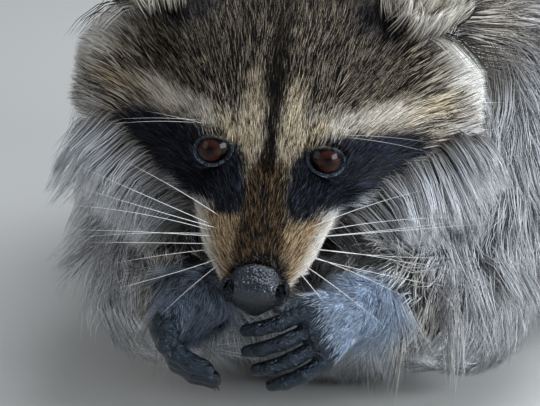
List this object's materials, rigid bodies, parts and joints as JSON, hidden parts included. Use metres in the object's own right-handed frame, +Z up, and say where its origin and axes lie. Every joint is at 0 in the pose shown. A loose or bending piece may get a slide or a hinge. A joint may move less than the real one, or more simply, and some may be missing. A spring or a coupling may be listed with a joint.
{
  "type": "raccoon",
  "caption": "Life-size still model of an adult raccoon crouching on the floor, head bowed over its two raised forepaws, bushy tail curled beside it.",
  "frame": {"origin": "middle of the footprint, on the floor that the animal rests on", "axes": "+Z up; the face looks along -Y; +X is the animal's left side"},
  "size_m": [0.4266, 0.5826, 0.2647],
  "materials": {
    "grey_coat": "long grizzled grey-brown fur with pale guard hairs",
    "face_coat": "short fur with a black mask, pale brow bands and a dark median stripe",
    "tan_muzzle": "very short tan fur, brown on the bridge and white at the lips",
    "pale_ear": "short pale fur, dark behind the ear's root",
    "ringed_tail": "bushy fur in dark and pale rings",
    "dark_paw": "black skin with sparse short hair",
    "wet_nose": "black, finely pebbled, moist",
    "brown_eye": "dark brown, wet gloss",
    "horn_claw": "dark horn"
  },
  "bodies": {
    "root": {"head": "face_coat", "muzzle": "tan_muzzle", "jaw": "tan_muzzle", "nose": "wet_nose", "eye_left": "brown_eye", "eye_right": "brown_eye", "ear_left": "pale_ear", "ear_right": "pale_ear", "neck": "grey_coat", "chest": "grey_coat", "belly": "grey_coat", "rump": "grey_coat", "tail_base": "ringed_tail", "tail_middle": "ringed_tail", "tail_tip": "ringed_tail", "upper_arm_left": "grey_coat", "upper_arm_right": "grey_coat", "forearm_left": "grey_coat", "forearm_right": "grey_coat", "hand_left": "dark_paw", "hand_right": "dark_paw", "thigh_left": "grey_coat", "thigh_right": "grey_coat", "shank_left": "grey_coat", "shank_right": "grey_coat", "foot_left": "dark_paw", "foot_right": "dark_paw", "claw_hand_left_1": "horn_claw", "claw_hand_left_2": "horn_claw", "claw_hand_left_3": "horn_claw", "claw_hand_left_4": "horn_claw", "claw_hand_left_5": "horn_claw", "claw_hand_right_1": "horn_claw", "claw_hand_right_2": "horn_claw", "claw_hand_right_3": "horn_claw", "claw_hand_right_4": "horn_claw", "claw_hand_right_5": "horn_claw", "claw_foot_left_1": "horn_claw", "claw_foot_left_2": "horn_claw", "claw_foot_left_3": "horn_claw", "claw_foot_left_4": "horn_claw", "claw_foot_left_5": "horn_claw", "claw_foot_right_1": "horn_claw", "claw_foot_right_2": "horn_claw", "claw_foot_right_3": "horn_claw", "claw_foot_right_4": "horn_claw", "claw_foot_right_5": "horn_claw"}
  },
  "joints": []
}
